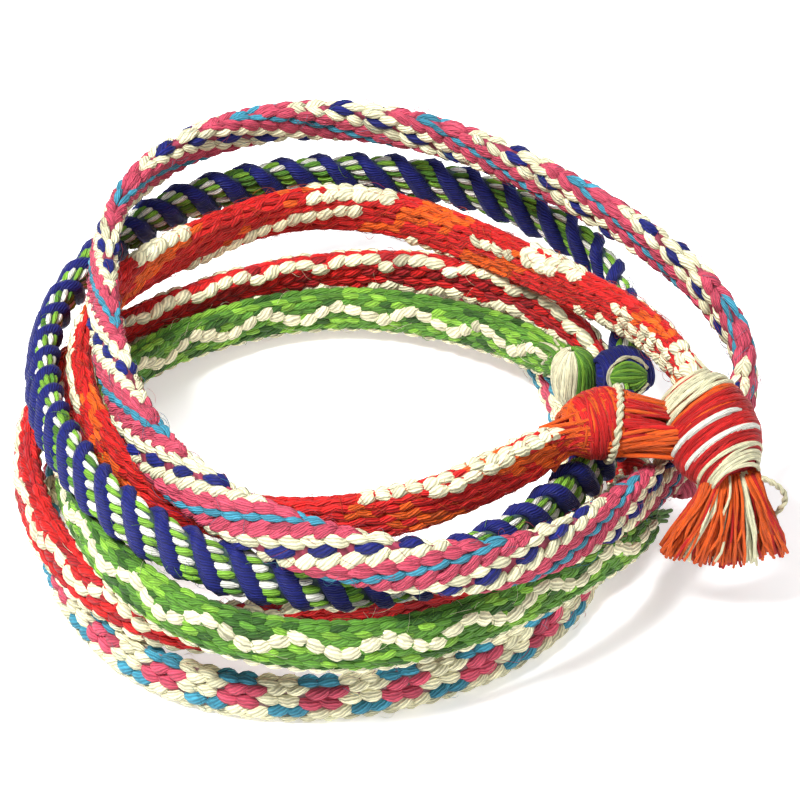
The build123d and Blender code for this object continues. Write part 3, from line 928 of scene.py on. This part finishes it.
for node, t, span, middle in (("fine_arc_1", 0.16 * big.half, 1.2, 0.35),
                              ("fine_arc_2", 0.5 * big.half, 1.5, -0.1)):
    yarns = Yarns()
    wrap(yarns, big, t, WHITE, 0.5, 0.35, 1.2, 0.42, span=span, middle=middle)
    wrap(yarns, big, t + 0.2, WHITE, 0.3, 0.35, 1.2, 0.30, span=span * 0.8, middle=middle)
    finish_piece(yarns, f"{node}_yarns", "orange", node)
yarns = Yarns()
for k in range(6):
    wrap(yarns, big, big.half - 1.2 + k * 0.3, vary([CREAM], 0.06)[0], 0.42, 0.25 + DICE.normal(0, 0.15), 1.2,
         0.12 + DICE.uniform(0, 0.2))
finish_piece(yarns, "collar_yarns", "orange", "collar")

# The tassel: cut floss that flares out of the collar, forward and down. Across it u goes from -1 to 1, and
# through it v does.
TASSEL_TILT = math.radians(19)
TASSEL_LENGTH = 8.1
TASSEL_SWING = -0.9
foot = (big.middle + big.way * big.half) * MM
down = np.array((0, -math.sin(TASSEL_TILT), -math.cos(TASSEL_TILT)))
away = np.array((0, -math.cos(TASSEL_TILT), math.sin(TASSEL_TILT)))
right = np.array((1.0, 0, 0))
yarns = Yarns()
for k in range(430):
    u, v = DICE.uniform(-1, 1), DICE.uniform(-1, 1)
    root = foot + (right * u * 2.6 * math.sqrt(1 - v * v * 0.6) + away * v * 1.2 - big.way * 0.6) * MM
    reach = TASSEL_LENGTH + 0.9 * math.cos(u * 2.2) + DICE.normal(0, 0.3) - 0.6 * abs(v)
    tip = foot + (right * (TASSEL_SWING + u * 6.0) + away * (v * 1.1 + 0.3) + down * reach) * MM
    bend = foot + (right * u * 3.3 + away * (v * 1.7 + 1.3) + down * 2.4) * MM
    line = curve(root, bend, tip, 12)
    t = np.linspace(0, 1, 12)[:, None]
    stray = 0.55 if k % 9 == 0 else 0.16
    line = line + (right * np.sin(t * 9 + 40 * u) + away * np.cos(t * 8 + 30 * v)) * stray * MM * t
    if -0.62 < u < -0.52 or -0.16 < u < -0.08 or 0.32 < u < 0.56:
        colour = CREAM
    else:
        colour = RED if (-0.3 < u < 0.15 and v < 0.2) or DICE.random() < 0.18 else ORANGE
    paint = np.minimum(vary([colour], 0.14)[0] * 1.12, 1)
    lay_tube(yarns, line, DICE.uniform(0.12, 0.19) * MM, paint, sides=5)
finish_piece(yarns, "tassel_yarns", "orange", "tassel")

# The bight of cream thread beside it.
LOOP = np.array(((34.4, -14.0, 15.4), (38.6, -14.0, 13.2), (35.2, -14.2, 10.2))) * MM
yarns = Yarns()
twisted(yarns, curve(*LOOP, 30), 0.6, CREAM)
finish_piece(yarns, "thread_loop_yarns", "orange", "thread_loop")

# Loose green threads past the front end of the green bracelet.
yarns = Yarns()
root, tip = np.array((23.8, -10.5, 6.9)) * MM, np.array((25.6, -6.3, 3.7)) * MM
side = unit(np.cross(tip - root, (0, 0, 1.0)))
over = unit(np.cross(side, tip - root))
for k in range(34):
    turn, out = DICE.uniform(0, 2 * math.pi), math.sqrt(DICE.random())
    swing = side * math.cos(turn) * out + over * math.sin(turn) * out
    t = np.linspace(0, 1, 10)[:, None]
    line = root + (tip - root) * t * DICE.uniform(0.8, 1.05) + swing * (0.7 + 0.8 * t) * MM
    paint = vary([(GREEN, DEEP_GREEN, LIME)[DICE.integers(3)]], 0.1)[0]
    lay_tube(yarns, line, 0.2 * MM, paint, sides=6)
finish_piece(yarns, "green_fringe_yarns", "green", "green_fringe")

# ---- camera, light and floor ----


def look(obj, place, target):
    """Puts obj at a place, facing a target."""
    way = np.array(target, float) - np.array(place, float)
    obj.location = place
    obj.rotation_mode = "QUATERNION"
    obj.rotation_quaternion = Vector(way).to_track_quat("-Z", "Y")


def soft_light(name, place, size, power):
    """A square area lamp that faces the middle of the table."""
    data = bpy.data.lights.new(name, "AREA")
    data.size = size
    data.energy = power
    lamp = bpy.data.objects.new(name, data)
    bpy.context.scene.collection.objects.link(lamp)
    look(lamp, place, (0, 0, 0))


elevation = math.radians(CAMERA_ELEVATION)
camera_data = bpy.data.cameras.new("camera")
camera_data.sensor_width = SENSOR
camera_data.lens = FOCAL_PIXELS / IMAGE_SIZE * SENSOR
camera_data.clip_start = 0.01
camera = bpy.data.objects.new("camera", camera_data)
bpy.context.scene.collection.objects.link(camera)
camera_place = TARGET + CAMERA_DISTANCE * np.array((0, -math.cos(elevation), math.sin(elevation)))
look(camera, camera_place, TARGET)
bpy.context.scene.camera = camera

soft_light("key", (-0.20, -0.12, 0.45), 0.12, 4.6)
soft_light("fill", (0.40, -0.25, 0.30), 0.40, 0.9)
soft_light("top", (0.05, 0.20, 0.60), 0.50, 1.5)

world = bpy.data.worlds.new("studio")
world.use_nodes = True
backdrop = world.node_tree.nodes["Background"]
backdrop.inputs["Color"].default_value = (1, 1, 1, 1)
backdrop.inputs["Strength"].default_value = 0.20
bpy.context.scene.world = world
bpy.context.scene.view_settings.view_transform = "Standard"

FLOOR = 2.0
floor_data = bpy.data.meshes.new("floor")
floor_data.from_pydata([(-FLOOR, -FLOOR, 0), (FLOOR, -FLOOR, 0), (FLOOR, FLOOR, 0), (-FLOOR, FLOOR, 0)],
                       [], [(0, 1, 2, 3)])
floor_paint = bpy.data.materials.new("floor_paint")
floor_paint.use_nodes = True
paint = floor_paint.node_tree.nodes["Principled BSDF"]
paint.inputs["Base Color"].default_value = (0.93, 0.93, 0.94, 1)
paint.inputs["Roughness"].default_value = 0.9
paint.inputs["Emission Color"].default_value = (1, 1, 1, 1)
paint.inputs["Emission Strength"].default_value = 0.36
floor_data.materials.append(floor_paint)
floor = bpy.data.objects.new("floor", floor_data)
bpy.context.scene.collection.objects.link(floor)
